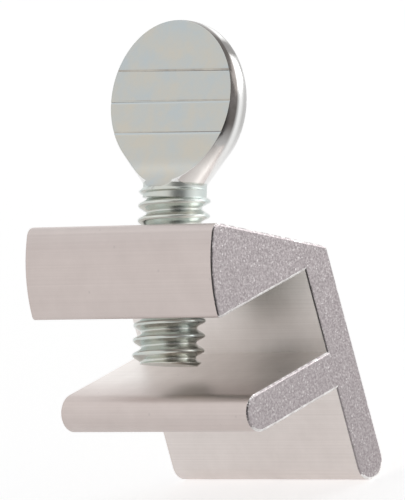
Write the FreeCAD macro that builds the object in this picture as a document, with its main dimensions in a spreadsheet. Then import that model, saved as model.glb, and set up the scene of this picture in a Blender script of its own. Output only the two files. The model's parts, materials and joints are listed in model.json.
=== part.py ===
import FreeCAD, Part
import math
import os

import Sketcher

# Sliding window lock: an F-shaped bar that clips over a window track, and the thumb screw that clamps it.
# Frame: X along the track, Y from the mouth of the slot back to the spine, Z up the spine.
# Origin: mid-length, in the corner where the top of the lip meets the spine.

# Driving dimensions in millimetres and degrees
DIMENSIONS = [
    ("bar_length", 22.4, "length of the sawn bar along the track"),
    ("spine_thickness", 3.3, "wall at the back of the slot, and of the leg below it"),
    ("slot_height", 7.65, "opening between the lip and the arm"),
    ("lip_thickness", 3.4, "plate under the slot"),
    ("lip_depth", 11.7, "reach of the lip in front of the spine"),
    ("leg_drop", 9.1, "leg below the underside of the lip"),
    ("arm_depth", 11.9, "reach of the arm in front of the spine"),
    ("arm_back_rise", 1.0, "height of the arm's back edge above the slot"),
    ("top_slope", 28.9, "fall of the arm's top towards the back"),
    ("front_radius", 14.2, "bulge of the arm's front"),
    ("crest_radius", 0.9, "round along the arm's front top edge"),
    ("front_edge_radius", 0.45, "round along the arm's front bottom edge"),
    ("back_edge_radius", 0.3, "round along the arm's back edge"),
    ("deburr", 0.12, "broken edges of the saw cuts"),
    ("screw_tilt", 25.0, "lean of the screw from the spine's direction, head to the back"),
    ("screw_inset", 5.65, "spine to screw axis, along the arm's underside"),
    ("tip_reach", 6.17, "screw standing out under the arm at rest"),
    ("thread_diameter", 6.35, "outside of the thread"),
    ("thread_clearance", 0.05, "gap between the thread's crests and the hole"),
    ("shank_length", 15.9, "tip to head"),
    ("tip_bevel", 0.55, "bevel at the screw's end"),
    ("neck_length", 0.7, "end of the thread to head"),
    ("neck_diameter", 5.6, "shank between thread and head"),
    ("neck_blend", 0.6, "cone that runs from the neck into the head"),
    ("neck_top_diameter", 3.6, "small end of that cone"),
    ("head_radius", 7.15, "round outline of the thumb head"),
    ("head_rise", 7.22, "centre of the round outline above the shank"),
    ("head_neck_width", 6.1, "width of the head where it meets the shank"),
    ("blank_thickness", 4.8, "forged blank before its faces are flattened"),
    ("rim_flat", 0.4, "band left between the two rounds of the blank's rim"),
    ("root_thickness", 4.6, "head where it meets the shank"),
    ("waist_thickness", 2.9, "head at the foot of its flat faces"),
    ("flare_height", 2.2, "curve from the shank up to the flat faces"),
    ("face_lean", 4.0, "taper of each flat face towards the top"),
    ("head_turn", 1.6, "turn of the head out of line with the bar, anticlockwise from above"),
    ("cut_overrun", 2.0, "how far a cut runs past what it cuts"),
]

doc = FreeCAD.newDocument("sliding_window_lock")
sheet = doc.addObject("Spreadsheet::Sheet", "dims")
for row, (alias, number, note) in enumerate(DIMENSIONS, start=1):
    sheet.set(f"A{row}", note)
    sheet.set(f"B{row}", str(number))
    sheet.setAlias(f"B{row}", alias)
doc.recompute()

# What a sketch's constraints refer to: the ends of a line or arc, the sketch's origin and its upright axis
START, END, CENTRE = 1, 2, 3
ORIGIN = (-1, 1)
UPRIGHT = -2


def size(alias):
    """A driving dimension as a number, for a sketch's first positions."""
    return float(sheet.get(alias))


def new_body(label):
    body = doc.addObject("PartDesign::Body", label)
    body.Label = label
    return body


def origin_item(body, role):
    return next(item for item in body.Origin.OriginFeatures if item.Role == role)


def new_sketch(body, name, role):
    """A sketch on one of the body's own origin planes."""
    sketch = body.newObject("Sketcher::SketchObject", name)
    sketch.AttachmentSupport = [(origin_item(body, role), "")]
    sketch.MapMode = "FlatFace"
    return sketch


def line(start, end):
    return Part.LineSegment(FreeCAD.Vector(*start, 0), FreeCAD.Vector(*end, 0))


def arc(start, middle, end):
    return Part.Arc(FreeCAD.Vector(*start, 0), FreeCAD.Vector(*middle, 0), FreeCAD.Vector(*end, 0))


def polyline(*corners):
    return [line(start, end) for start, end in zip(corners, corners[1:] + corners[:1])]


def constrain(sketch, *constraints):
    for constraint in constraints:
        sketch.addConstraint(Sketcher.Constraint(*constraint))


def drive(sketch, name, expression, *constraint):
    """A dimension of the sketch, bound to the sheet."""
    index = sketch.addConstraint(Sketcher.Constraint(*constraint))
    sketch.renameConstraint(index, name)
    sketch.setExpression(f"Constraints.{name}", expression)


def draw_outline(sketch, pieces, smooth_joins=(), clockwise_arcs=()):
    """Adds pieces end to end as one closed outline, tangent after each piece that is in smooth_joins.
    An arc runs anticlockwise from its start, so one that is followed clockwise is met at its end."""
    sketch.addGeometry(pieces, False)
    for index in range(len(pieces)):
        after = (index + 1) % len(pieces)
        leaving = START if index in clockwise_arcs else END
        entering = END if after in clockwise_arcs else START
        kind = "Tangent" if index in smooth_joins else "Coincident"
        constrain(sketch, (kind, index, leaving, after, entering))


def add_feature(body, kind, name, expressions, **settings):
    """A feature of the body with plain settings and sizes bound to the sheet."""
    feature = body.newObject(f"PartDesign::{kind}", name)
    for key, setting in settings.items():
        setattr(feature, key, setting)
    for key, expression in expressions.items():
        feature.setExpression(key, expression)
    doc.recompute()
    return feature


def edge_names(feature, wanted):
    return [f"Edge{number}" for number, edge in enumerate(feature.Shape.Edges, start=1) if wanted(edge)]


def near(first, second):
    return abs(first - second) < 1e-4


def round_bar_edge(body, name, base, rank):
    """Rounds the one edge along the bar that ranks highest, by the radius of that name."""
    along = [edge for edge in base.Shape.Edges if near(edge.BoundBox.XLength, size("bar_length"))]
    chosen = max(along, key=lambda edge: rank(edge.CenterOfMass))
    names = edge_names(base, chosen.isSame)
    return add_feature(body, "Fillet", name, {"Radius": f"dims.{name}_radius"}, Base=(base, names))


def crest_of_arm(spine, back, centre, radius, slope):
    """Where the arm's sloping top, drawn forward from its back edge, meets its round front."""
    across = spine - centre[0]
    up = back - centre[1]
    half = up * math.sin(slope) - across * math.cos(slope)
    reach = -half + math.sqrt(half ** 2 - across ** 2 - up ** 2 + radius ** 2)
    return spine - reach * math.cos(slope), back + reach * math.sin(slope)


def draw_bar_profile(sketch):
    """The F-shaped section of the extrusion, from the foot of the leg round to the back of the spine."""
    spine = size("spine_thickness")
    lip = size("lip_thickness")
    foot = -lip - size("leg_drop") + spine / 2
    nose = -size("lip_depth") + lip / 2
    slot = size("slot_height")
    front = -size("arm_depth")
    back = slot + size("arm_back_rise")
    slope = math.radians(size("top_slope"))
    bulge = size("front_radius")
    crest = crest_of_arm(spine, back, (front + bulge, slot), bulge, slope)
    rise = math.asin((crest[1] - slot) / bulge) / 2
    bulge_middle = (front + bulge - bulge * math.cos(rise), slot + bulge * math.sin(rise))
    leg, lip_under, lip_nose, lip_top, spine_face = range(5)
    arm_under, arm_front, arm_top, spine_back, leg_foot = range(5, 10)
    pieces = [
        line((0, foot), (0, -lip)),
        line((0, -lip), (nose, -lip)),
        arc((nose, -lip), (nose - lip / 2, -lip / 2), (nose, 0)),
        line((nose, 0), (0, 0)),
        line((0, 0), (0, slot)),
        line((0, slot), (front, slot)),
        arc((front, slot), bulge_middle, crest),
        line(crest, (spine, back)),
        line((spine, back), (spine, foot)),
        arc((spine, foot), (spine / 2, foot - spine / 2), (0, foot)),
    ]
    smooth = (lip_under, lip_nose, spine_back, leg_foot)
    draw_outline(sketch, pieces, smooth, clockwise_arcs=(lip_nose, arm_front, leg_foot))
    constrain(
        sketch,
        ("Coincident", lip_top, END, *ORIGIN),
        ("PointOnObject", leg, START, UPRIGHT),
        ("Vertical", leg),
        ("Horizontal", lip_under),
        ("Horizontal", lip_top),
        ("Vertical", spine_face),
        ("Horizontal", arm_under),
        ("Vertical", spine_back),
        ("Horizontal", arm_front, CENTRE, arm_under, END),
    )
    drive(sketch, "lip", "dims.lip_thickness", "DistanceY", leg, END, *ORIGIN, lip)
    nose_centre = "dims.lip_depth - dims.lip_thickness / 2"
    drive(sketch, "nose", nose_centre, "DistanceX", lip_nose, CENTRE, *ORIGIN, -nose)
    drive(sketch, "slot", "dims.slot_height", "DistanceY", spine_face, START, spine_face, END, slot)
    drive(sketch, "arm", "dims.arm_depth", "DistanceX", arm_under, END, arm_under, START, -front)
    drive(sketch, "bulge", "dims.front_radius", "Radius", arm_front, bulge)
    drive(sketch, "back", "dims.arm_back_rise", "DistanceY", spine_face, END, arm_top, END, back - slot)
    drive(sketch, "spine", "dims.spine_thickness", "DistanceX", *ORIGIN, arm_top, END, spine)
    drive(sketch, "slope", "-dims.top_slope * 1 deg", "Angle", arm_top, -slope)
    foot_centre = "dims.leg_drop - dims.spine_thickness / 2"
    drive(sketch, "drop", foot_centre, "DistanceY", leg_foot, CENTRE, leg, END, -lip - foot)


def draw_screw_hole(sketch):
    """Half section of the hole, from the slot's space to past the arm's top, beside its own axis."""
    radius = size("thread_diameter") / 2 + size("thread_clearance")
    below = -size("cut_overrun")
    above = size("shank_length")
    sketch.setExpression("AttachmentOffset.Base.x", "-dims.screw_inset")
    sketch.setExpression("AttachmentOffset.Base.y", "dims.slot_height")
    sketch.setExpression("AttachmentOffset.Rotation.Angle", "-dims.screw_tilt * 1 deg")
    bottom, side, top, axis = range(4)
    draw_outline(sketch, polyline((0, below), (radius, below), (radius, above), (0, above)))
    constrain(
        sketch,
        ("Horizontal", bottom),
        ("Vertical", side),
        ("Horizontal", top),
        ("PointOnObject", axis, START, UPRIGHT),
        ("PointOnObject", axis, END, UPRIGHT),
    )
    wall = "dims.thread_diameter / 2 + dims.thread_clearance"
    drive(sketch, "wall", wall, "DistanceX", bottom, START, bottom, END, radius)
    drive(sketch, "below", "dims.cut_overrun", "DistanceY", bottom, START, *ORIGIN, -below)
    drive(sketch, "above", "dims.shank_length", "DistanceY", *ORIGIN, top, END, above)


def build_clamp_body():
    """The extruded bar: rounded long edges, a hole for the screw and broken edges at the saw cuts."""
    body = new_body("clamp_body")
    profile = new_sketch(body, "bar_profile", "YZ_Plane")
    draw_bar_profile(profile)
    length = {"Length": "dims.bar_length"}
    feature = add_feature(body, "Pad", "bar", length, Profile=profile, SideType="Symmetric")
    feature = round_bar_edge(body, "crest", feature, lambda centre: centre.z)
    feature = round_bar_edge(body, "front_edge", feature, lambda centre: -centre.y)
    feature = round_bar_edge(body, "back_edge", feature, lambda centre: centre.y + centre.z)
    half = size("bar_length") / 2
    ends = edge_names(
        feature,
        lambda edge: near(edge.BoundBox.XLength, 0) and near(abs(edge.CenterOfMass.x), half),
    )
    feature = add_feature(body, "Chamfer", "saw_cuts", {"Size": "dims.deburr"}, Base=(feature, ends))
    solid_volume = feature.Shape.Volume
    hole = new_sketch(body, "screw_hole_section", "YZ_Plane")
    draw_screw_hole(hole)
    axis = (hole, ["V_Axis"])
    feature = add_feature(body, "Groove", "screw_hole", {}, Profile=hole, ReferenceAxis=axis, Angle=360)
    if not feature.Shape.Volume < solid_volume:
        raise RuntimeError("the screw hole cut nothing")
    return body


def draw_head_outline(sketch):
    """Front view of the head: a round that runs down into the neck on two straight tangents."""
    radius = size("head_radius")
    neck = size("shank_length")
    centre = neck + size("head_rise")
    half_width = size("head_neck_width") / 2
    # The tangent from the corner of the neck touches the round at this angle below its centre line
    distance = math.hypot(half_width, size("head_rise"))
    touch = math.acos(radius / distance) - math.atan2(size("head_rise"), half_width)
    side = (radius * math.cos(touch), centre + radius * math.sin(touch))
    base, right, round_top, left = range(4)
    pieces = [
        line((-half_width, neck), (half_width, neck)),
        line((half_width, neck), side),
        arc(side, (0, centre + radius), (-side[0], side[1])),
        line((-side[0], side[1]), (-half_width, neck)),
    ]
    draw_outline(sketch, pieces, smooth_joins=(right, round_top))
    constrain(
        sketch,
        ("PointOnObject", round_top, CENTRE, UPRIGHT),
        ("Symmetric", base, START, base, END, UPRIGHT),
    )
    drive(sketch, "width", "dims.head_neck_width", "DistanceX", base, START, base, END, 2 * half_width)
    drive(sketch, "neck", "dims.shank_length", "DistanceY", *ORIGIN, base, END, neck)
    drive(sketch, "rise", "dims.head_rise", "DistanceY", base, END, round_top, CENTRE, centre - neck)
    drive(sketch, "round", "dims.head_radius", "Radius", round_top, radius)


def draw_flattened_side(sketch):
    """Side view of what forging takes off one face: a leaning flat that flares out to the shank."""
    neck = size("shank_length")
    root = size("root_thickness") / 2
    waist = size("waist_thickness") / 2
    flare = neck + size("flare_height")
    lean = math.radians(size("face_lean"))
    top = neck + size("head_rise") + size("head_radius") + size("cut_overrun")
    outside = size("blank_thickness")
    flat_top = waist - (top - flare) * math.tan(lean)
    # The flare leaves the flat along it, so its chord leans as much more as its end does
    chord = math.atan2(root - waist, flare - neck)
    bend = math.hypot(root - waist, flare - neck) / (2 * math.sin(chord - lean))
    centre = (waist + bend * math.cos(lean), flare + bend * math.sin(lean))
    middle = (centre[0] - bend * math.cos(chord), centre[1] - bend * math.sin(chord))
    flat, flare_arc, bottom, wall, over = range(5)
    pieces = [
        line((flat_top, top), (waist, flare)),
        arc((waist, flare), middle, (root, neck)),
        line((root, neck), (outside, neck)),
        line((outside, neck), (outside, top)),
        line((outside, top), (flat_top, top)),
    ]
    draw_outline(sketch, pieces, smooth_joins=(flat,))
    constrain(sketch, ("Horizontal", bottom), ("Vertical", wall), ("Horizontal", over))
    drive(sketch, "root", "dims.root_thickness / 2", "DistanceX", *ORIGIN, bottom, START, root)
    drive(sketch, "neck", "dims.shank_length", "DistanceY", *ORIGIN, bottom, START, neck)
    drive(sketch, "waist", "dims.waist_thickness / 2", "DistanceX", *ORIGIN, flat, END, waist)
    drive(sketch, "flare", "dims.flare_height", "DistanceY", bottom, START, flat, END, flare - neck)
    drive(sketch, "lean", "(dims.face_lean - 90) * 1 deg", "Angle", flat, lean - math.pi / 2)
    drive(sketch, "outside", "dims.blank_thickness", "DistanceX", *ORIGIN, wall, END, outside)
    over_head = "dims.head_rise + dims.head_radius + dims.cut_overrun"
    drive(sketch, "over", over_head, "DistanceY", bottom, START, over, START, top - neck)


def draw_shank_section(sketch):
    """Half section of the shank, from its bevelled end to the cone that runs into the head."""
    thread = size("thread_diameter") / 2
    bevel = size("tip_bevel")
    neck = size("neck_diameter") / 2
    head = size("shank_length")
    shoulder = head - size("neck_length")
    blend = size("neck_blend")
    cone = size("neck_top_diameter") / 2
    end, tip_cone, side, run_out, neck_side, blend_cone, top, axis = range(8)
    corners = [
        (0, 0),
        (thread - bevel, 0),
        (thread, bevel),
        (thread, shoulder),
        (neck, shoulder + thread - neck),
        (neck, head),
        (cone, head + blend),
        (0, head + blend),
    ]
    draw_outline(sketch, polyline(*corners))
    constrain(
        sketch,
        ("Coincident", end, START, *ORIGIN),
        ("Horizontal", end),
        ("Vertical", side),
        ("Vertical", neck_side),
        ("Horizontal", top),
        ("Vertical", axis),
    )
    drive(sketch, "bevel_across", "dims.tip_bevel", "DistanceX", tip_cone, START, tip_cone, END, bevel)
    drive(sketch, "bevel_up", "dims.tip_bevel", "DistanceY", tip_cone, START, tip_cone, END, bevel)
    drive(sketch, "thread", "dims.thread_diameter / 2", "DistanceX", *ORIGIN, side, END, thread)
    drive(sketch, "neck", "dims.neck_diameter / 2", "DistanceX", *ORIGIN, neck_side, END, neck)
    plain = head - shoulder
    drive(sketch, "plain", "dims.neck_length", "DistanceY", side, END, neck_side, END, plain)
    run_out_rise = "(dims.thread_diameter - dims.neck_diameter) / 2"
    drive(sketch, "run_out", run_out_rise, "DistanceY", run_out, START, run_out, END, thread - neck)
    drive(sketch, "shank", "dims.shank_length", "DistanceY", *ORIGIN, neck_side, END, head)
    drive(sketch, "blend", "dims.neck_blend", "DistanceY", neck_side, END, top, START, blend)
    drive(sketch, "cone", "dims.neck_top_diameter / 2", "DistanceX", *ORIGIN, top, START, cone)


def build_thumb_screw():
    """The screw, made upright on its end and then leaned into the hole. Its crests stand for the thread."""
    body = new_body("thumb_screw")
    outline = new_sketch(body, "head_outline", "XZ_Plane")
    draw_head_outline(outline)
    thickness = {"Length": "dims.blank_thickness"}
    blank = add_feature(body, "Pad", "head_blank", thickness, Profile=outline, SideType="Symmetric")
    half = size("blank_thickness") / 2
    neck = size("shank_length")
    rim = edge_names(
        blank,
        lambda edge: near(edge.BoundBox.YLength, 0) and near(abs(edge.CenterOfMass.y), half)
        and edge.BoundBox.ZMax > neck + half,
    )
    rim_radius = {"Radius": "(dims.blank_thickness - dims.rim_flat) / 2"}
    rounded = add_feature(body, "Fillet", "rim", rim_radius, Base=(blank, rim))
    side = new_sketch(body, "flattened_side", "YZ_Plane")
    draw_flattened_side(side)
    width = {"Length": "2 * (dims.head_radius + dims.cut_overrun)"}
    front_face = add_feature(body, "Pocket", "front_face", width, Profile=side, SideType="Symmetric")
    middle = (origin_item(body, "XZ_Plane"), [""])
    both_faces = add_feature(body, "Mirrored", "both_faces", {}, Originals=[front_face], MirrorPlane=middle)
    body.Tip = both_faces
    doc.recompute()
    if not both_faces.Shape.Volume < front_face.Shape.Volume < rounded.Shape.Volume:
        raise RuntimeError("a face of the head was not flattened")
    section = new_sketch(body, "shank_section", "XZ_Plane")
    draw_shank_section(section)
    axis = (section, ["V_Axis"])
    add_feature(body, "Revolution", "shank", {}, Profile=section, ReferenceAxis=axis, Angle=360)
    tip_place = "vector(0; -dims.screw_inset - dims.tip_reach * sin(dims.screw_tilt * 1 deg);"
    tip_place += " dims.slot_height - dims.tip_reach * cos(dims.screw_tilt * 1 deg))"
    lean = "rotation(vector(1; 0; 0); -dims.screw_tilt)"
    turn = "rotation(vector(0; 0; 1); dims.head_turn)"
    body.setExpression("Placement", f"placement({tip_place}; {lean} * {turn})")
    return body


sub_parts = [build_clamp_body(), build_thumb_screw()]
doc.recompute()

# Nothing is written unless every object came out whole
for item in doc.Objects:
    if "Invalid" in item.State or "Error" in item.State:
        raise RuntimeError(f"{item.Label} failed: {item.State}")
for sub_part in sub_parts:
    if sub_part.Shape.isNull() or not sub_part.Shape.isValid():
        raise RuntimeError(f"{sub_part.Label} has no valid shape")

os.makedirs("parts", exist_ok=True)
for sub_part in sub_parts:
    sub_part.Shape.exportStep(f"parts/{sub_part.Label}.step")
    print(sub_part.Label, f"{sub_part.Shape.Volume:.2f} mm3", len(sub_part.Shape.Solids), "solid")
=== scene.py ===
import json
import math

import bmesh
import bpy
from bpy.props import FloatProperty, FloatVectorProperty, IntProperty, PointerProperty
from mathutils import Matrix, Vector


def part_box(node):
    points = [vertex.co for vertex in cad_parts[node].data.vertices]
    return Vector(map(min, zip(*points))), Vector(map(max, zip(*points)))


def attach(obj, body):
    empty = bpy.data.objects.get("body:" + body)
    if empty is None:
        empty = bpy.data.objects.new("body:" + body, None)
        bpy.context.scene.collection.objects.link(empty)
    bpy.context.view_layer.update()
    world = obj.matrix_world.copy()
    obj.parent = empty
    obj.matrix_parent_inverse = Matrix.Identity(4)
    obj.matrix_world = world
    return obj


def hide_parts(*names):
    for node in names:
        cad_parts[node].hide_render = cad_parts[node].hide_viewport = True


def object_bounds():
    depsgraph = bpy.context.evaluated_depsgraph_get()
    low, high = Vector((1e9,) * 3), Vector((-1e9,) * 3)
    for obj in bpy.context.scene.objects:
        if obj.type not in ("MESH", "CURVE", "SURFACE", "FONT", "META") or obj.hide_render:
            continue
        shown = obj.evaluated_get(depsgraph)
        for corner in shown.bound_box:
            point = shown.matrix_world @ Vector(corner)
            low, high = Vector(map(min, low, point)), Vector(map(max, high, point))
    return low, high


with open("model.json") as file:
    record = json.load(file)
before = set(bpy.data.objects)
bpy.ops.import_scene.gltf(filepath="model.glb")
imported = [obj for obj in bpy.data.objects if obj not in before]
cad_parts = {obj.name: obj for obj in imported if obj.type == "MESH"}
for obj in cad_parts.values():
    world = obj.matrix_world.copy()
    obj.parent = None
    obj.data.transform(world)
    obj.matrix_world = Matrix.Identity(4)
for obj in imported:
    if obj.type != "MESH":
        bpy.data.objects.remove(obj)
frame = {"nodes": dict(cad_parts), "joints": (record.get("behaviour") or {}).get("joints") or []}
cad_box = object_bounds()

bl_info = {
    "name": "Sliding Window Lock",
    "version": (1, 0, 0),
    "blender": (4, 5, 0),
    "location": "View3D > Sidebar > Window Lock",
    "description": "Models the sawn bar and the thumb screw of a sliding window lock, and a stage for them",
    "category": "Mesh",
}

MM = 0.001

# Distances within which a cut touches a vertex, two places are one, and a union's stray vertices are merged
TOUCH = 1e-7
SAME = 1e-6
STRAY = 3e-6

# Cosine above which two directions are one, and the angle below which neighbouring faces are one flat
ALIGNED = 0.9999
FLAT_ANGLE = math.radians(0.05)

# How squarely a face looks along the bar: a sawn end, the rolled-over band inside its edge, and a broken edge
END_SLANT = 0.98
BAND_SLANT = 0.94
EDGE_SLANT = 0.2

# Angles above which an edge of the shading is crisp
BAR_CREASE = math.radians(30)
SCREW_CREASE = math.radians(18)

# Facets of the round forms
HEAD_FACETS = 192
SHANK_FACETS = 160
ROLLER_FACETS = 360
RIM_SEGMENTS = 14
CREST_SEGMENTS = 8


def linear(hex_colour):
    """An sRGB hex colour as linear red, green, blue and alpha."""
    channels = [int(hex_colour[start:start + 2], 16) / 255 for start in (1, 3, 5)]
    curve = [c / 12.92 if c <= 0.04045 else ((c + 0.055) / 1.055) ** 2.4 for c in channels]
    return (*curve, 1.0)


def length(name, description, millimetres):
    return FloatProperty(
        name=name, description=description, default=millimetres * MM,
        unit="LENGTH", subtype="DISTANCE", precision=5,
    )


def angle(name, description, degrees):
    return FloatProperty(
        name=name, description=description, default=math.radians(degrees), unit="ROTATION", subtype="ANGLE"
    )


def colour(name, description, hex_colour):
    return FloatVectorProperty(
        name=name, description=description, default=linear(hex_colour),
        size=4, min=0, max=1, subtype="COLOR",
    )


class WindowLockBar(bpy.types.PropertyGroup):
    """The extruded bar."""

    burr_spacing: length("Burr spacing", "How often the sawn edge changes direction", 0.45)
    burr_width: length("Burr width", "Rolled-over band of the sawn edge, on the end", 0.1)
    burr_drop: length("Burr drop", "How far that band falls away from the end", 0.03)
    burr_wander: length("Burr wander", "How far the sawn edge strays sideways", 0.05)
    die_line_width: length("Die line width", "Width of one drawn line along the bar", 0.16)
    saw_grain: length("Saw grain", "Size of a torn fleck on the sawn ends", 0.13)
    mill_light: colour("Mill finish, light", "Outer faces between the die lines", "#D2C7C3")
    mill_dark: colour("Mill finish, dark", "Outer faces in the die lines", "#C6BBB7")
    # Painted light: the slot's faces are painted in these lighter copies of the mill colours
    painted_light_slot_light: colour("Slot, light", "Sheltered faces between the die lines", "#F2EDEA")
    painted_light_slot_dark: colour("Slot, dark", "Sheltered faces in the die lines", "#E1DBD7")
    sawn_light: colour("Sawn end, light", "Bright grain of the sawn ends", "#B8B1B2")
    sawn_dark: colour("Sawn end, dark", "Dull grain of the sawn ends", "#978F91")
    burr: colour("Burr", "Bright broken edge of the saw cuts", "#E6E3E2")
    # Painted highlight: the lower broken edges of the saw cuts are painted in this light colour
    scraped: colour("Scraped edge", "Fresh metal on the lower edges of the saw cuts", "#FAF9F8")
    # Painted shade: the broken edges of the saw cuts that look forwards are painted in this dark colour
    painted_shade: colour("Grime", "Handled edges of the saw cuts, towards the front", "#8A8584")


class WindowLockScrew(bpy.types.PropertyGroup):
    """The thumb screw, standing upright on its end."""

    thread_diameter: length("Thread diameter", "Outside of the thread", 6.3)
    thread_pitch: length("Thread pitch", "Rise of the thread in one turn", 1.31)
    thread_depth: length("Thread depth", "Crest to root", 0.7)
    thread_round: length("Thread round", "Where the round of a crest or root leaves the flank", 0.4)
    thread_start: angle("Thread start", "Turn of the thread about the screw", 107.0)
    turn_steps: IntProperty(name="Steps", description="Facets in one turn of the thread", default=80, min=24)
    tip_bevel: length("Tip bevel", "Bevel at the screw's end", 0.55)
    shank_length: length("Shank length", "Tip to head", 15.9)
    head_radius: length("Head radius", "Round outline of the head", 7.15)
    head_rise: length("Head rise", "Centre of the round outline above the shank", 7.22)
    neck_width: length("Neck width", "Width of the head where it meets the shank", 6.1)
    neck_diameter: length("Neck diameter", "Plain shank between thread and head", 5.6)
    neck_blend: length("Neck blend", "How far the head's sides run down into the neck", 0.35)
    shoulder: length("Shoulder", "Cone that leads the neck into the head", 0.7)
    blank_thickness: length("Blank thickness", "Forged blank before its faces are flattened", 4.8)
    rim_radius: length("Rim radius", "Round of the head's rim", 2.2)
    root_thickness: length("Root thickness", "Head where it meets the shank", 4.6)
    waist_thickness: length("Waist thickness", "Head at the foot of its flat faces", 2.9)
    flare_height: length("Flare height", "Curve from the shank up to the flat faces", 2.2)
    face_lean: angle("Face lean", "Taper of each flat face towards the top", 4.0)
    head_turn: angle("Head turn", "Turn of the head out of line with the bar", 1.6)
    edge_round: length("Edge round", "Round that plating leaves on every edge", 0.1)
    grip_spacing: length("Grip line spacing", "Distance between the lines pressed into the faces", 2.72)
    grip_drop: length("Grip line drop", "Middle line below the centre of the head", 0.1)
    grip_width: length("Grip line width", "Width of a line pressed into the faces", 0.32)
    grip_skew: angle("Grip line skew", "Slant of those lines across the faces", 0.7)
    grip_depth: length("Grip line depth", "Depth of a line pressed into the faces", 0.05)
    # Painted reflection: the rim's dark band and the mark across it are painted in; these give the band's
    # blend, the mark's height above the shank and its width
    painted_reflection_blend: length("Trimmed edge blend", "Width over which the rim turns from dull to bright", 0.4)
    painted_reflection_mark: length("Trim mark", "Rough mark of the trimming die across the rim, above the shank", 11.8)
    painted_reflection_mark_width: length("Trim mark width", "Width of that mark", 1.6)
    face_cool: colour("Face, cool", "Bluish plating on the faces", "#B8BFC1")
    face_warm: colour("Face, warm", "Yellowish plating on the faces", "#C4C0B6")
    # Painted shade on the upper flank and painted light on the lower flank of each pressed line
    line_shade: colour("Grip line, dark", "Upper flank of the pressed lines", "#A29D98")
    line_light: colour("Grip line, light", "Lower flank of the pressed lines", "#BBC0C0")
    rim: colour("Rim", "Smooth plating on the middle of the rim", "#E8E8E7")
    # Painted reflection: the dark colours of that band and mark
    painted_reflection_dark: colour("Trimmed edge, dark", "Dull plating on the rim beside the front face", "#5A5652")
    painted_reflection_light: colour("Trimmed edge, light", "Brighter spots of the same plating", "#767170")
    thread_cool: colour("Thread, cool", "Greenish plating on the thread", "#C8D1CF")
    thread_warm: colour("Thread, warm", "Yellowish plating on the thread", "#D0CFC6")


class WindowLockStage(bpy.types.PropertyGroup):
    """Camera and floor."""

    azimuth: angle("Azimuth", "Camera's turn to the right of the bar's front", 44.78)
    elevation: angle("Elevation", "Camera's height above the bar's level", 14.35)
    roll: angle("Roll", "Camera's tilt about its line of sight", -15.05)
    distance: length("Distance", "Camera to object", 800.0)
    frame_height: length("Frame height", "Real height that fills the picture", 43.78)
    target: FloatVectorProperty(
        name="Target", description="Point at the middle of the picture", subtype="XYZ", unit="LENGTH",
        default=(1.04 * MM, -1.45 * MM, 10.23 * MM),
    )
    floor: colour("Floor", "Pale floor", "#F2F2F2")


def make_active(piece):
    bpy.ops.object.select_all(action="DESELECT")
    piece.select_set(True)
    bpy.context.view_layer.objects.active = piece


def edit(piece):
    make_active(piece)
    bpy.ops.object.mode_set(mode="EDIT")


def leave_edit():
    bpy.ops.object.mode_set(mode="OBJECT")


def select_where(piece, kind, wanted):
    """In edit mode, selects the vertices, edges or faces that are wanted, and nothing else."""
    bpy.ops.mesh.select_all(action="DESELECT")
    bpy.context.tool_settings.mesh_select_mode = (kind == "verts", kind == "edges", kind == "faces")
    mesh = bmesh.from_edit_mesh(piece.data)
    for element in getattr(mesh, kind):
        element.select_set(bool(wanted(element)))
    mesh.select_flush_mode()
    bmesh.update_edit_mesh(piece.data)


def near(first, second, tolerance=SAME):
    return abs(first - second) < tolerance


def apply_boolean(piece, other, operation):
    """Joins, cuts or intersects a piece with another object, which is used up."""
    modifier = piece.modifiers.new(operation.title(), "BOOLEAN")
    modifier.operation = operation
    modifier.solver = "EXACT"
    modifier.object = other
    make_active(piece)
    bpy.ops.object.modifier_apply(modifier=modifier.name)
    bpy.data.objects.remove(other)


def apply_weighted_normals(piece, crease):
    """Smooth shading with crisp edges, and flats that stay flat beside their rounds."""
    full_weight = 100
    make_active(piece)
    bpy.ops.object.shade_smooth_by_angle(angle=crease)
    modifier = piece.modifiers.new("Flats", "WEIGHTED_NORMAL")
    modifier.keep_sharp = True
    modifier.weight = full_weight
    bpy.ops.object.modifier_apply(modifier=modifier.name)


def paint_faces(piece, materials, choose):
    """Gives the piece its materials, and each face the one that choose names."""
    order = list(materials)
    piece.data.materials.clear()
    for material in materials.values():
        piece.data.materials.append(material)
    for face in piece.data.polygons:
        face.material_index = order.index(choose(face))


def add_node(tree, kind, inputs=None, **settings):
    """A shader node with its settings. An input is a plain value, or another node's output."""
    node = tree.nodes.new(kind)
    for name, setting in settings.items():
        setattr(node, name, setting)
    for name, source in (inputs or {}).items():
        if isinstance(source, bpy.types.NodeSocket):
            tree.links.new(source, node.inputs[name])
        else:
            node.inputs[name].default_value = source
    return node


def noise(tree, place, size, detail, roughness=0.5):
    """Cloudy variation from 0 to 1, in blotches of a size."""
    inputs = {"Vector": place, "Scale": 1 / size, "Detail": detail, "Roughness": roughness}
    return add_node(tree, "ShaderNodeTexNoise", inputs).outputs["Fac"]


def ease(tree, value, start, end, low=0.0, high=1.0):
    """From low to high, as a value goes from start to end, and level outside them."""
    inputs = {"Value": value, "From Min": start, "From Max": end, "To Min": low, "To Max": high}
    return add_node(tree, "ShaderNodeMapRange", inputs).outputs["Result"]


def maths(tree, operation, *terms):
    return add_node(tree, "ShaderNodeMath", dict(enumerate(terms)), operation=operation).outputs["Value"]


def vector_maths(tree, operation, inputs):
    return add_node(tree, "ShaderNodeVectorMath", inputs, operation=operation).outputs["Vector"]


def ramp(tree, value, start, first, end, second):
    """From the first colour to the second, as a value goes from start to end."""
    node = add_node(tree, "ShaderNodeValToRGB", {"Fac": value})
    lower, upper = node.color_ramp.elements
    lower.position = start
    lower.color = first
    upper.position = end
    upper.color = second
    return node.outputs["Color"]


def mix_colours(tree, share, first, second):
    return add_node(tree, "ShaderNodeMixRGB", {"Fac": share, 1: first, 2: second}).outputs["Color"]


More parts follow.
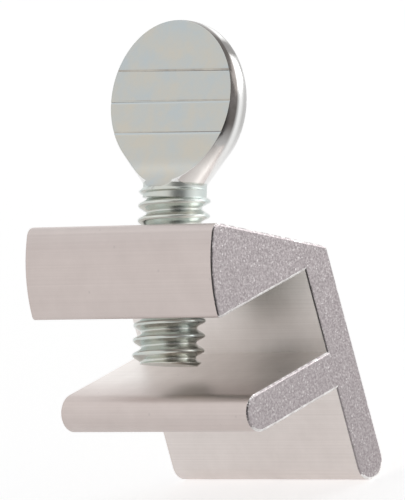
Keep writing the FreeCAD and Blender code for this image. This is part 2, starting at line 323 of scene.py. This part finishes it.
def axes_of(tree, place):
    return add_node(tree, "ShaderNodeSeparateXYZ", {"Vector": place}).outputs


def bump(tree, height, strength, depth, **inputs):
    inputs.update(Height=height, Strength=strength, Distance=depth)
    return add_node(tree, "ShaderNodeBump", inputs).outputs["Normal"]


def new_material(name):
    """A metal, its node tree and the piece's own coordinates."""
    material = bpy.data.materials.new(name)
    material.use_nodes = True
    tree = material.node_tree
    tree.nodes["Principled BSDF"].inputs["Metallic"].default_value = 1.0
    place = add_node(tree, "ShaderNodeTexCoord").outputs["Object"]
    return material, tree, place


def set_metal(tree, tint, normal, roughness):
    inputs = tree.nodes["Principled BSDF"].inputs
    tree.links.new(tint, inputs["Base Color"])
    tree.links.new(normal, inputs["Normal"])
    inputs["Roughness"].default_value = roughness


def mill_finish_aluminium(bar, front, back):
    """Extruded aluminium as it leaves the die: soft sheen, drawn out in fine lines along the bar, with faint
    clouds and a few small pits. Between front and back it is painted lighter as painted light, in the slot
    most and on the leg half as much, and the top of the arm is painted a little darker as painted shade."""
    line_length = 40 * MM
    line_depth = 0.006 * MM
    cloud_size = 3 * MM
    pit_spacing = 2.2 * MM
    leg_level = -5 * MM
    lip_level = -1 * MM
    arm_level = 12.5 * MM
    arm_top = 17 * MM
    slot_start, slot_fully_lit, slot_end = 0.1, 0.4, 0.78
    black = (0, 0, 0, 1)
    white = (1, 1, 1, 1)
    material, tree, place = new_material("mill_finish_extruded_aluminium")
    across = 1 / bar.die_line_width
    drawn = add_node(tree, "ShaderNodeMapping", {"Vector": place, "Scale": (1 / line_length, across, across)})
    lines = noise(tree, drawn.outputs["Vector"], size=1, detail=3, roughness=0.6)
    cloud = noise(tree, place, cloud_size, detail=6, roughness=0.65)
    tone = add_node(tree, "ShaderNodeMix", {"Factor": 0.5, "A": lines, "B": cloud}, data_type="FLOAT")
    axes = axes_of(tree, place)
    # Painted light: a band from front to back, full across the slot, where the faces get the lighter slot
    # colours
    painted_light_band = add_node(tree, "ShaderNodeValToRGB", {"Fac": ease(tree, axes["Y"], front, back)})
    stops = painted_light_band.color_ramp.elements
    stops[0].position = slot_start
    stops[1].color = black
    for position in (slot_fully_lit, slot_end):
        stops.new(position).color = white
    # Painted light: the leg below the lip gets half of it
    above_leg = ease(tree, axes["Z"], leg_level, lip_level, low=0.5)
    painted_light_share = maths(tree, "MULTIPLY", painted_light_band.outputs["Color"], above_leg)
    # Outer faces keep the mill colours; the slot's faces get their painted-light copies
    outer = ramp(tree, tone.outputs["Result"], 0.3, bar.mill_dark, 0.7, bar.mill_light)
    inner = ramp(tree, tone.outputs["Result"], 0.3, bar.painted_light_slot_dark, 0.7, bar.painted_light_slot_light)
    metal = mix_colours(tree, painted_light_share, outer, inner)
    # Painted shade: the top of the arm is painted a little darker
    painted_arm_shade = ease(tree, axes["Z"], arm_level, arm_top, high=0.28)
    arm_top_shaded = mix_colours(tree, painted_arm_shade, metal, bar.sawn_dark)
    spots = add_node(tree, "ShaderNodeTexVoronoi", {"Vector": place, "Scale": 1 / pit_spacing})
    pits = ease(tree, spots.outputs["Distance"], start=0.08, end=0.02, high=0.25)
    pitted = mix_colours(tree, pits, arm_top_shaded, bar.sawn_dark)
    set_metal(tree, pitted, bump(tree, lines, strength=0.35, depth=line_depth), roughness=0.4)
    return material


def sawn_aluminium(bar):
    """Aluminium torn by a saw: dull grey grain with flecks that catch the light one by one."""
    grain_size = 0.22 * MM
    fleck_tilt = 0.15
    material, tree, place = new_material("sawn_aluminium")
    inputs = {"Vector": place, "Scale": 1 / bar.saw_grain, "Randomness": 1.0}
    flecks = add_node(tree, "ShaderNodeTexVoronoi", inputs).outputs["Color"]
    grain = noise(tree, place, grain_size, detail=4, roughness=0.7)
    tint = ramp(tree, grain, 0.4, bar.sawn_dark, 0.62, bar.sawn_light)
    chance = add_node(tree, "ShaderNodeSeparateColor", {"Color": flecks}).outputs["Red"]
    few = ease(tree, chance, start=0.93, end=1.0, high=0.6)
    flecked = mix_colours(tree, few, tint, bar.burr)
    centred = vector_maths(tree, "SUBTRACT", {0: flecks, 1: (0.5, 0.5, 0.5)})
    tilt = vector_maths(tree, "SCALE", {0: centred, "Scale": fleck_tilt})
    facing = add_node(tree, "ShaderNodeNewGeometry").outputs["Normal"]
    tilted = vector_maths(tree, "ADD", {0: facing, 1: tilt})
    set_metal(tree, flecked, vector_maths(tree, "NORMALIZE", {0: tilted}), roughness=0.34)
    return material


def burred_aluminium(name, dull, bright, roughness):
    """The broken edge of a saw cut: smeared bright by the blade in some places and dull in others."""
    smear_size = 0.7 * MM
    smear_depth = 0.03 * MM
    material, tree, place = new_material(name)
    smear = noise(tree, place, smear_size, detail=2)
    tint = ramp(tree, smear, 0.4, dull, 0.6, bright)
    set_metal(tree, tint, bump(tree, smear, strength=0.4, depth=smear_depth), roughness)
    return material


def zinc_plate(name, cool, warm, roughness, edge_round):
    """Bright zinc plate: a thin clear film that shifts from bluish to yellowish over a few millimetres.
    Its edges are rounded over, so that they catch a thin line of whatever stands beside them."""
    film_size = 3.5 * MM
    pit_size = 0.5 * MM
    pit_depth = 0.02 * MM
    material, tree, place = new_material(name)
    film = noise(tree, place, film_size, detail=6, roughness=0.65)
    tint = ramp(tree, film, 0.35, cool, 0.65, warm)
    pits = noise(tree, place, pit_size, detail=4, roughness=0.6)
    rounded = add_node(tree, "ShaderNodeBevel", {"Radius": edge_round}, samples=8).outputs["Normal"]
    set_metal(tree, tint, bump(tree, pits, strength=0.15, depth=pit_depth, Normal=rounded), roughness)
    return material


def zinc_plate_with_painted_reflection(screw, stand):
    """Zinc plate on the head's rim: bright as rolled, with a dark brownish painted reflection along its front
    edge and across one mark on each side, and a fainter painted reflection along its back edge. All of that
    fades out towards the neck."""
    back_share = 0.45
    mark_share = 0.8
    fade_start = 1.2 * MM
    fade_end = 5 * MM
    material = zinc_plate(
        "zinc_plate_on_trimmed_rim", screw.painted_reflection_dark, screw.painted_reflection_light,
        roughness=0.2, edge_round=screw.edge_round,
    )
    tree = material.node_tree
    base = tree.nodes["Principled BSDF"].inputs["Base Color"]
    # Tint of the painted dark reflection, from the zinc plate made above
    dull = base.links[0].from_socket
    place = add_node(tree, "ShaderNodeTexCoord").outputs["Object"]
    inputs = {"Vector": place, "Location": stand.to_translation(), "Rotation": stand.to_euler()}
    upright = add_node(tree, "ShaderNodeMapping", inputs, vector_type="TEXTURE")
    axes = axes_of(tree, upright.outputs["Vector"])
    # Painted reflection: darkest along the front edge, fainter along the back edge, and across one mark
    front = ease(tree, axes["Y"], screw.painted_reflection_blend / 2, -screw.painted_reflection_blend / 2)
    back = ease(tree, axes["Y"], screw.painted_reflection_blend, 2 * screw.painted_reflection_blend, high=back_share)
    neck = screw.shank_length
    above_mark = maths(tree, "SUBTRACT", axes["Z"], neck + screw.painted_reflection_mark)
    from_mark = maths(tree, "ABSOLUTE", above_mark)
    outside, inside = 0.7 * screw.painted_reflection_mark_width, 0.3 * screw.painted_reflection_mark_width
    mark = ease(tree, from_mark, outside, inside, high=mark_share)
    bands = maths(tree, "MAXIMUM", maths(tree, "MAXIMUM", front, back), mark)
    # The painted reflection fades out towards the neck
    high = ease(tree, axes["Z"], neck + fade_start, neck + fade_end)
    trimmed = maths(tree, "MULTIPLY", bands, high)
    tree.links.new(mix_colours(tree, trimmed, screw.rim, dull), base)
    return material


class WINDOWLOCK_OT_sawn_bar(bpy.types.Operator):
    """Makes the sawn aluminium bar with its ragged edges"""

    bl_idname = "window_lock.sawn_bar"
    bl_label = "Sawn Bar"

    def execute(self, context):
        bar = context.scene.window_lock_bar
        node = frame["nodes"]["clamp_body"]
        piece = bpy.data.objects.new("sawn_bar", node.data.copy())
        context.collection.objects.link(piece)
        low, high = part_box("clamp_body")
        edit(piece)
        bpy.ops.mesh.select_all(action="SELECT")
        bpy.ops.mesh.remove_doubles(threshold=SAME)
        bpy.ops.mesh.dissolve_limited(angle_limit=FLAT_ANGLE)
        self.break_edges(piece, bar, low, high)
        leave_edit()
        smooth = 0.26
        coarse = 0.75
        finishes = {
            "mill": mill_finish_aluminium(bar, low.y, high.y),
            "sawn": sawn_aluminium(bar),
            "burr": burred_aluminium("burred_aluminium", bar.sawn_light, bar.burr, smooth),
            # Painted shade on the broken edges that look forwards
            "grimy_burr": burred_aluminium("grimy_burred_aluminium", bar.painted_shade, bar.sawn_dark, smooth),
            # Painted highlight on the broken edges that look down
            "scraped_burr": burred_aluminium("scraped_burred_aluminium", bar.burr, bar.scraped, coarse),
        }
        paint_faces(piece, finishes, lambda face: self.finish_of(face, bar, high.x))
        apply_weighted_normals(piece, BAR_CREASE)
        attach(piece, "clamp")
        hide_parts("clamp_body")
        return {"FINISHED"}

    def finish_of(self, face, bar, half_length):
        """Broken edges that look down get a painted highlight, and those that look forwards get painted
        shade.
        """
        downwards = -0.5
        forwards = -0.65
        slant = abs(face.normal.x)
        if slant > END_SLANT:
            return "sawn"
        near_end = half_length - abs(face.center.x) < bar.burr_spacing
        if slant < EDGE_SLANT or not near_end:
            return "mill"
        depth, height = face.normal.yz.normalized()
        # Painted highlight on the broken edges that look down
        if height < downwards:
            return "scraped_burr"
        if slant > BAND_SLANT:
            return "sawn"
        # Painted shade on the broken edges that look forwards
        return "grimy_burr" if depth < forwards else "burr"

    def break_edges(self, piece, bar, low, high):
        """Cuts the broken edges of both saw cuts into short lengths, lets their inner line wander and drops
        their outer line a little."""
        stagger = 0.37

        def broken(face):
            slanted = EDGE_SLANT < abs(face.normal.x) < END_SLANT
            return slanted and high.x - abs(face.calc_center_median().x) < bar.burr_spacing

        for side, direction in ((1, Vector((0, 1, 0))), (2, Vector((0, 0, 1)))):
            cuts = int((high[side] - low[side]) / bar.burr_spacing)
            for cut in range(1, cuts):
                select_where(piece, "faces", broken)
                spot = direction * (low[side] + (cut + stagger) * bar.burr_spacing)
                bpy.ops.mesh.bisect(plane_co=spot, plane_no=direction, threshold=TOUCH)
        for end in (low.x, high.x):
            select_where(piece, "faces", lambda face: all(near(vertex.co.x, end) for vertex in face.verts))
            bpy.ops.mesh.inset(thickness=bar.burr_width, depth=0)
            bpy.ops.transform.vertex_random(offset=bar.burr_wander, uniform=0, normal=0, seed=3)
            bpy.ops.transform.resize(value=(0, 1, 1), center_override=(end, 0, 0))
            select_where(
                piece, "verts",
                lambda vertex: near(vertex.co.x, end) and any(broken(face) for face in vertex.link_faces),
            )
            inwards = math.copysign(bar.burr_drop, -end)
            bpy.ops.transform.translate(value=(inwards, 0, 0))
            select_where(piece, "edges", lambda edge: any(broken(face) for face in edge.link_faces))
            bpy.ops.mesh.mark_sharp()


class WINDOWLOCK_OT_thumb_screw(bpy.types.Operator):
    """Makes the thumb screw with its rolled thread and flattened head"""

    bl_idname = "window_lock.thumb_screw"
    bl_label = "Thumb Screw"

    def execute(self, context):
        screw = context.scene.window_lock_screw
        piece = self.forge_head(screw)
        self.press_lines(piece, screw)
        apply_boolean(piece, self.roll_thread(screw), "UNION")
        piece.name = "threaded_thumb_screw"
        piece.data.name = piece.name
        edit(piece)
        bpy.ops.mesh.select_all(action="SELECT")
        bpy.ops.mesh.remove_doubles(threshold=STRAY)
        bpy.ops.mesh.normals_make_consistent(inside=False)
        bpy.ops.mesh.select_face_by_sides(number=4, type="GREATER", extend=False)
        bpy.ops.mesh.quads_convert_to_tris(quad_method="BEAUTY", ngon_method="BEAUTY")
        leave_edit()
        stand = self.standing()
        paint_faces(piece, self.finishes(screw, stand), lambda face: self.finish_of(face, screw))
        apply_weighted_normals(piece, SCREW_CREASE)
        piece.matrix_world = stand @ Matrix.Rotation(screw.head_turn, 4, "Z")
        make_active(piece)
        bpy.ops.object.transform_apply()
        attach(piece, "screw")
        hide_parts("thumb_screw")
        return {"FINISHED"}

    def finishes(self, screw, stand):
        def plate(where, cool, warm, roughness):
            return zinc_plate("zinc_plate_" + where, cool, warm, roughness, screw.edge_round)

        return {
            "face": plate("on_forged_face", screw.face_cool, screw.face_warm, roughness=0.3),
            # Rim with a painted dark reflection
            "rim": zinc_plate_with_painted_reflection(screw, stand),
            "thread": plate("on_rolled_thread", screw.thread_cool, screw.thread_warm, roughness=0.24),
            "neck": plate("on_forged_neck", screw.thread_cool, screw.thread_warm, roughness=0.34),
            "line_shade": plate("in_shaded_line", screw.line_shade, screw.face_warm, roughness=0.35),
            "line_light": plate("in_lit_line", screw.line_light, screw.face_cool, roughness=0.35),
        }

    def finish_of(self, face, screw):
        """Tells the parts of the upright screw apart by where a face is and which way it looks."""
        flare_slope = 0.1
        straight_across = 0.02
        level = 0.01
        neck_play = 0.02 * MM
        face_on = 0.9
        line_slope = 0.2
        neck = screw.shank_length
        flats = neck + screw.flare_height
        flare_foot = neck - screw.thread_pitch / 2
        upwards = face.normal.z > flare_slope and near(face.normal.x, 0, straight_across)
        if upwards and flare_foot < face.center.z < flats:
            return "face"
        on_neck = near(face.center.xy.length, screw.neck_diameter / 2, neck_play)
        if on_neck and near(face.normal.z, 0, level):
            return "neck"
        if face.center.z < neck:
            return "thread"
        if abs(face.normal.y) < face_on:
            return "rim"
        slope = face.normal.z - math.sin(screw.face_lean)
        if face.center.z < flats or abs(slope) < line_slope:
            return "face"
        # Painted light on a line's lower flank and painted shade on its upper flank
        return "line_light" if slope > 0 else "line_shade"

    def forge_head(self, screw):
        """The head's blank with its barrel rim, flattened on both faces down to a flare at the neck."""
        facing_down = -0.9
        sunk_share = 0.93
        radius = screw.head_radius
        neck = screw.shank_length
        centre = neck + screw.head_rise
        half_neck = screw.neck_width / 2
        thickness = screw.blank_thickness
        reach = math.hypot(half_neck, screw.head_rise)
        touch = math.acos(radius / reach) - math.atan2(screw.head_rise, half_neck)
        bpy.ops.object.select_all(action="DESELECT")
        bpy.ops.mesh.primitive_circle_add(
            vertices=HEAD_FACETS, radius=radius,
            location=(0, -thickness / 2, centre), rotation=(math.pi / 2, 0, 0),
        )
        head = bpy.context.active_object
        bpy.ops.object.transform_apply()
        edit(head)
        lowest = centre + radius * math.sin(touch) - SAME
        select_where(head, "verts", lambda vertex: vertex.co.z < lowest)
        bpy.ops.mesh.delete(type="VERT")
        for side in (-1, 1):
            mesh = bmesh.from_edit_mesh(head.data)
            outer = [vertex.co.copy() for vertex in mesh.verts if vertex.co.x * side > half_neck]
            last = min(outer, key=lambda place: place.z)
            select_where(head, "verts", lambda vertex: (vertex.co - last).length < TOUCH)
            corner = Vector((side * half_neck, -thickness / 2, neck))
            bpy.ops.mesh.extrude_vertices_move(TRANSFORM_OT_translate={"value": corner - last})
        select_where(head, "verts", lambda vertex: True)
        bpy.ops.mesh.edge_face_add()
        bpy.ops.mesh.extrude_region_move(TRANSFORM_OT_translate={"value": (0, thickness, 0)})
        bpy.ops.mesh.select_all(action="SELECT")
        bpy.ops.mesh.normals_make_consistent(inside=False)

        def on_rim(edge):
            first, second = edge.verts
            flat = near(first.co.y, second.co.y)
            at_neck = near(first.co.z, neck) and near(second.co.z, neck)
            return flat and not at_neck

        select_where(head, "edges", on_rim)
        bpy.ops.mesh.bevel(offset=screw.rim_radius, segments=RIM_SEGMENTS, profile=0.5, affect="EDGES")
        select_where(head, "faces", lambda face: face.normal.z < facing_down)
        bpy.ops.mesh.extrude_region_move(TRANSFORM_OT_translate={"value": (0, 0, -screw.neck_blend)})
        narrowing = sunk_share * screw.neck_diameter / screw.neck_width
        bpy.ops.transform.resize(value=(narrowing, 1, 1), center_override=(0, 0, neck))
        leave_edit()
        apply_boolean(head, self.turn_neck(screw), "UNION")
        for side in (-1, 1):
            for cutter in self.flattening_tools(screw, side):
                apply_boolean(head, cutter, "DIFFERENCE")
        return head

    def flattening_tools(self, screw, side):
        """A block that leaves the leaning flat, and a roller that leaves the flare under it."""
        lean = screw.face_lean
        waist = screw.waist_thickness / 2
        foot = screw.shank_length + screw.flare_height
        span = 4 * screw.head_radius
        depth = screw.blank_thickness
        outwards = Vector((0, side * math.cos(lean), math.sin(lean)))
        upwards = Vector((0, -side * math.sin(lean), math.cos(lean)))
        start = Vector((0, side * waist, foot))
        bpy.ops.object.select_all(action="DESELECT")
        bpy.ops.mesh.primitive_cube_add(
            size=1, location=start + upwards * span / 2 + outwards * depth / 2,
            rotation=(side * lean, 0, 0), scale=(span, depth, span),
        )
        block = bpy.context.active_object
        bpy.ops.object.transform_apply()
        thicker = (screw.root_thickness - screw.waist_thickness) / 2
        chord = math.atan2(thicker, screw.flare_height)
        bend = math.hypot(thicker, screw.flare_height) / (2 * math.sin(chord - lean))
        bpy.ops.object.select_all(action="DESELECT")
        bpy.ops.mesh.primitive_cylinder_add(
            vertices=ROLLER_FACETS, radius=bend, depth=span,
            location=start + outwards * bend, rotation=(0, math.pi / 2, 0),
        )
        roller = bpy.context.active_object
        bpy.ops.object.transform_apply()
        return block, roller

    def press_lines(self, head, screw):
        """Three thin lines across each flat face, as the forging die leaves them."""
        middle = screw.shank_length + screw.head_rise - screw.grip_drop
        lean = screw.face_lean
        upwards = Vector((math.sin(screw.grip_skew), 0, math.cos(screw.grip_skew)))
        edit(head)
        for side in (-1, 1):
            outwards = Vector((0, side * math.cos(lean), math.sin(lean)))
            for step in (-1, 0, 1):
                line = Vector((0, 0, middle + step * screw.grip_spacing))
                for offset in (-0.5, 0, 0.5):
                    select_where(head, "faces", lambda face: face.normal.dot(outwards) > ALIGNED)
                    spot = line + upwards * offset * screw.grip_width
                    bpy.ops.mesh.bisect(plane_co=spot, plane_no=upwards, threshold=TOUCH)
                select_where(
                    head, "verts",
                    lambda vertex: near((vertex.co - line).dot(upwards), 0)
                    and any(face.normal.dot(outwards) > ALIGNED for face in vertex.link_faces),
                )
                bpy.ops.transform.translate(value=-outwards * screw.grip_depth)
        leave_edit()

    def turn_neck(self, screw):
        """The plain end of the shank, with a shoulder that runs up into the head and is flattened with it."""
        foot = screw.shank_length - screw.thread_pitch
        top = screw.shank_length + screw.shoulder
        neck = self.upright_cylinder(screw.neck_diameter / 2, foot, top)
        self.bevel_rims(neck, ((top, screw.shoulder),))
        return neck

    def upright_cylinder(self, radius, foot, top):
        bpy.ops.object.select_all(action="DESELECT")
        bpy.ops.mesh.primitive_cylinder_add(
            vertices=SHANK_FACETS, radius=radius, depth=top - foot, location=(0, 0, (top + foot) / 2)
        )
        cylinder = bpy.context.active_object
        bpy.ops.object.transform_apply()
        return cylinder

    def bevel_rims(self, cylinder, rims):
        """Bevels an upright cylinder's edge at each level by its width."""
        edit(cylinder)
        for level, width in rims:
            select_where(
                cylinder, "edges", lambda edge: all(near(vertex.co.z, level) for vertex in edge.verts)
            )
            bpy.ops.mesh.bevel(offset=width, segments=1, affect="EDGES")
        leave_edit()

    def roll_thread(self, screw):
        """One turn's profile with rounded crest and root, screwed up the shank and trimmed by a bevelled
        cylinder."""
        flank = math.radians(60)
        spare_turns = 3
        pitch = screw.thread_pitch
        sharp = pitch / 2 * math.tan(flank)
        middle = (screw.thread_diameter - screw.thread_depth) / 2
        below = -spare_turns * pitch
        corners = [
            Vector((middle, 0, below)),
            Vector((middle + sharp / 2, 0, below + pitch / 4)),
            Vector((middle - sharp / 2, 0, below + 3 * pitch / 4)),
            Vector((middle, 0, below + pitch)),
        ]
        bpy.ops.object.select_all(action="DESELECT")
        bpy.ops.mesh.primitive_plane_add(size=pitch, location=(0, 0, 0))
        thread = bpy.context.active_object
        edit(thread)
        bpy.ops.mesh.select_mode(type="VERT")
        bpy.ops.mesh.merge(type="CENTER")
        bpy.ops.transform.translate(value=corners[0])
        for corner, following in zip(corners, corners[1:]):
            bpy.ops.mesh.extrude_vertices_move(TRANSFORM_OT_translate={"value": following - corner})
        select_where(thread, "verts", lambda vertex: len(vertex.link_edges) == 2)
        bpy.ops.mesh.bevel(offset=screw.thread_round, segments=CREST_SEGMENTS, profile=0.5, affect="VERTICES")
        leave_edit()
        modifier = thread.modifiers.new("Turns", "SCREW")
        modifier.axis = "Z"
        modifier.screw_offset = pitch
        modifier.iterations = math.ceil(screw.shank_length / pitch) + 2 * spare_turns
        modifier.steps = screw.turn_steps
        modifier.render_steps = screw.turn_steps
        modifier.use_merge_vertices = True
        modifier.merge_threshold = SAME
        bpy.ops.object.modifier_apply(modifier=modifier.name)
        thread.rotation_euler.z = screw.thread_start
        bpy.ops.object.transform_apply()
        edit(thread)
        bpy.ops.mesh.select_all(action="SELECT")
        bpy.ops.mesh.remove_doubles(threshold=SAME)
        for height, clear_outer in ((-pitch, False), (screw.shank_length + pitch, True)):
            bpy.ops.mesh.select_all(action="SELECT")
            bpy.ops.mesh.bisect(
                plane_co=(0, 0, height), plane_no=(0, 0, 1), use_fill=True, threshold=TOUCH,
                clear_outer=clear_outer, clear_inner=not clear_outer,
            )
        bpy.ops.mesh.select_all(action="SELECT")
        bpy.ops.mesh.normals_make_consistent(inside=False)
        leave_edit()
        apply_boolean(thread, self.trimming_cylinder(screw), "INTERSECT")
        return thread

    def trimming_cylinder(self, screw):
        """What the thread is trimmed to: bevelled at the screw's end and where it runs out into the neck."""
        sunk = 0.05 * MM
        play = 0.01 * MM
        run_out = (screw.thread_diameter - screw.neck_diameter) / 2 + sunk
        height = screw.shank_length - run_out
        trimmer = self.upright_cylinder(screw.thread_diameter / 2 + play, 0, height)
        self.bevel_rims(trimmer, ((0, screw.tip_bevel), (height, run_out)))
        return trimmer

    def standing(self):
        """The place of the upright screw: along the CAD screw's axis, with its end at the same point."""
        end_depth = 1e-5
        axis = Vector(frame["joints"][0]["axis"]).normalized()
        across = Vector((1, 0, 0))
        forward = axis.cross(across)
        points = [vertex.co for vertex in frame["nodes"]["thumb_screw"].data.vertices]
        lowest = min(point.dot(axis) for point in points)
        end = [point for point in points if near(point.dot(axis), lowest, end_depth)]
        tip = axis * lowest
        for direction in (across, forward):
            spread = [point.dot(direction) for point in end]
            tip += direction * (min(spread) + max(spread)) / 2
        return Matrix.Translation(tip) @ Matrix((across, forward, axis)).transposed().to_4x4()


class WINDOWLOCK_OT_stage(bpy.types.Operator):
    """Sets the floor, the lamps, the white surroundings and the camera"""

    bl_idname = "window_lock.stage"
    bl_label = "Stage"

    def execute(self, context):
        stage = context.scene.window_lock_stage
        context.scene.view_settings.view_transform = "Standard"
        self.lay_floor(stage)
        self.hang_lamps()
        self.hang_card()
        self.paint_world(context)
        self.place_camera(context, stage)
        return {"FINISHED"}

    def seen_directly(self, tree):
        """1 for rays that show the background itself: from the camera, in a reflection or through glass."""
        path = add_node(tree, "ShaderNodeLightPath").outputs
        mirrored = maths(tree, "MAXIMUM", path["Is Camera Ray"], path["Is Glossy Ray"])
        return maths(tree, "MAXIMUM", mirrored, path["Is Transmission Ray"])

    def bare_material(self, name):
        material = bpy.data.materials.new(name)
        material.use_nodes = True
        material.node_tree.nodes.clear()
        return material, material.node_tree

    def lay_floor(self, stage):
        """A matt white floor, which glows a little so that it comes out as white as the surroundings."""
        floor_size = 8.0
        floor_glow = 0.57
        bpy.ops.object.select_all(action="DESELECT")
        bpy.ops.mesh.primitive_plane_add(size=floor_size, location=(0, 0, cad_box[0].z))
        floor = bpy.context.active_object
        floor.name = "floor"
        material, tree = self.bare_material("matt_white_floor")
        matt = add_node(tree, "ShaderNodeBsdfDiffuse", {"Color": stage.floor})
        glow_level = maths(tree, "MULTIPLY", self.seen_directly(tree), floor_glow)
        glow = add_node(tree, "ShaderNodeEmission", {"Strength": glow_level})
        both = add_node(tree, "ShaderNodeAddShader", {0: matt.outputs["BSDF"], 1: glow.outputs["Emission"]})
        add_node(tree, "ShaderNodeOutputMaterial", {"Surface": both.outputs["Shader"]})
        floor.data.materials.append(material)

    def hang_lamps(self):
        """Lamps around the object, each with its offset, width, height and brightness."""
        middle = (cad_box[0] + cad_box[1]) / 2
        lamps = {
            "key_lamp": (Vector((-0.22, -0.22, 0.52)), 0.35, 0.35, 0.3),
            "back_lamp": (Vector((-0.20, 0.40, 0.22)), 0.30, 0.30, 0.5),
            "edge_lamp": (Vector((0.25, 0.36, 0.05)), 0.36, 0.26, 2.2),
        }
        for name, (offset, width, height, brightness) in lamps.items():
            bpy.ops.object.select_all(action="DESELECT")
            facing = offset.to_track_quat("Z", "Y").to_euler()
            bpy.ops.object.light_add(type="AREA", location=middle + offset, rotation=facing)
            lamp = bpy.context.active_object
            lamp.name = name
            lamp.data.shape = "RECTANGLE"
            lamp.data.size = width
            lamp.data.size_y = height
            lamp.data.energy = brightness * math.pi * width * height

    def hang_card(self):
        """A grey card with soft edges that only the metal sees, since bright metal needs something darker to
        mirror."""
        spot = (0.040, -0.025, 0.025)
        turn = math.radians(58)
        width = 0.070
        height = 0.074
        fade_start = 0.2
        fade_end = 0.5
        bpy.ops.object.select_all(action="DESELECT")
        bpy.ops.mesh.primitive_plane_add(size=1, location=spot, rotation=(math.pi / 2, 0, turn))
        card = bpy.context.active_object
        card.name = "front_card"
        card.scale = (width, height, 1)
        card.visible_camera = False
        card.visible_diffuse = False
        card.visible_shadow = False
        material, tree = self.bare_material("grey_gauze")
        axes = axes_of(tree, add_node(tree, "ShaderNodeTexCoord").outputs["Object"])
        fade = ease(tree, maths(tree, "ABSOLUTE", axes["X"]), fade_start, fade_end)
        grey = add_node(tree, "ShaderNodeEmission", {"Color": linear("#6E6E6E")}).outputs["Emission"]
        clear = add_node(tree, "ShaderNodeBsdfTransparent").outputs["BSDF"]
        gauze = add_node(tree, "ShaderNodeMixShader", {"Fac": fade, 1: grey, 2: clear})
        add_node(tree, "ShaderNodeOutputMaterial", {"Surface": gauze.outputs["Shader"]})
        card.data.materials.append(material)

    def paint_world(self, context):
        """White surroundings, brighter to look at and in reflections than as light on matt things."""
        unseen_strength = 0.38
        seen_strength = 1.0
        world = bpy.data.worlds.new("white_surroundings")
        context.scene.world = world
        world.use_nodes = True
        tree = world.node_tree
        tree.nodes.clear()
        inputs = {"Factor": self.seen_directly(tree), "A": unseen_strength, "B": seen_strength}
        strength = add_node(tree, "ShaderNodeMix", inputs, data_type="FLOAT").outputs["Result"]
        glow = add_node(tree, "ShaderNodeBackground", {"Color": (1, 1, 1, 1), "Strength": strength})
        add_node(tree, "ShaderNodeOutputWorld", {"Surface": glow.outputs["Background"]})

    def place_camera(self, context, stage):
        azimuth = stage.azimuth
        elevation = stage.elevation
        towards = Vector((
            math.sin(azimuth) * math.cos(elevation),
            -math.cos(azimuth) * math.cos(elevation),
            math.sin(elevation),
        ))
        level = Vector((math.cos(azimuth), math.sin(azimuth), 0))
        upright = towards.cross(level)
        right = level * math.cos(stage.roll) + upright * math.sin(stage.roll)
        up = towards.cross(right)
        data = bpy.data.cameras.new("camera")
        data.sensor_width = 36.0
        data.lens = data.sensor_width * stage.distance / stage.frame_height
        data.clip_start = 0.01
        data.clip_end = 20.0
        camera = bpy.data.objects.new("camera", data)
        context.collection.objects.link(camera)
        turned = Matrix((right, up, towards)).transposed().to_4x4()
        camera.matrix_world = Matrix.Translation(Vector(stage.target) + towards * stage.distance) @ turned
        context.scene.camera = camera


class WINDOWLOCK_PT_panel(bpy.types.Panel):
    """Lists the lock's pieces and their sizes and colours"""

    bl_idname = "WINDOWLOCK_PT_panel"
    bl_label = "Sliding Window Lock"
    bl_space_type = "VIEW_3D"
    bl_region_type = "UI"
    bl_category = "Window Lock"

    def draw(self, context):
        scene = context.scene
        steps = (
            (WINDOWLOCK_OT_sawn_bar, scene.window_lock_bar),
            (WINDOWLOCK_OT_thumb_screw, scene.window_lock_screw),
            (WINDOWLOCK_OT_stage, scene.window_lock_stage),
        )
        for step, settings in steps:
            box = self.layout.box()
            box.operator(step.bl_idname)
            for name in settings.bl_rna.properties.keys():
                if name not in ("rna_type", "name"):
                    box.prop(settings, name)


SETTINGS = {
    "window_lock_bar": WindowLockBar,
    "window_lock_screw": WindowLockScrew,
    "window_lock_stage": WindowLockStage,
}
CLASSES = (
    *SETTINGS.values(),
    WINDOWLOCK_OT_sawn_bar,
    WINDOWLOCK_OT_thumb_screw,
    WINDOWLOCK_OT_stage,
    WINDOWLOCK_PT_panel,
)


def register():
    for item in CLASSES:
        bpy.utils.register_class(item)
    for name, group in SETTINGS.items():
        setattr(bpy.types.Scene, name, PointerProperty(type=group))


def unregister():
    for name in SETTINGS:
        delattr(bpy.types.Scene, name)
    for item in reversed(CLASSES):
        bpy.utils.unregister_class(item)


def main():
    register()
    bpy.ops.window_lock.sawn_bar()
    bpy.ops.window_lock.thumb_screw()
    bpy.ops.window_lock.stage()


if __name__ == "__main__":
    main()
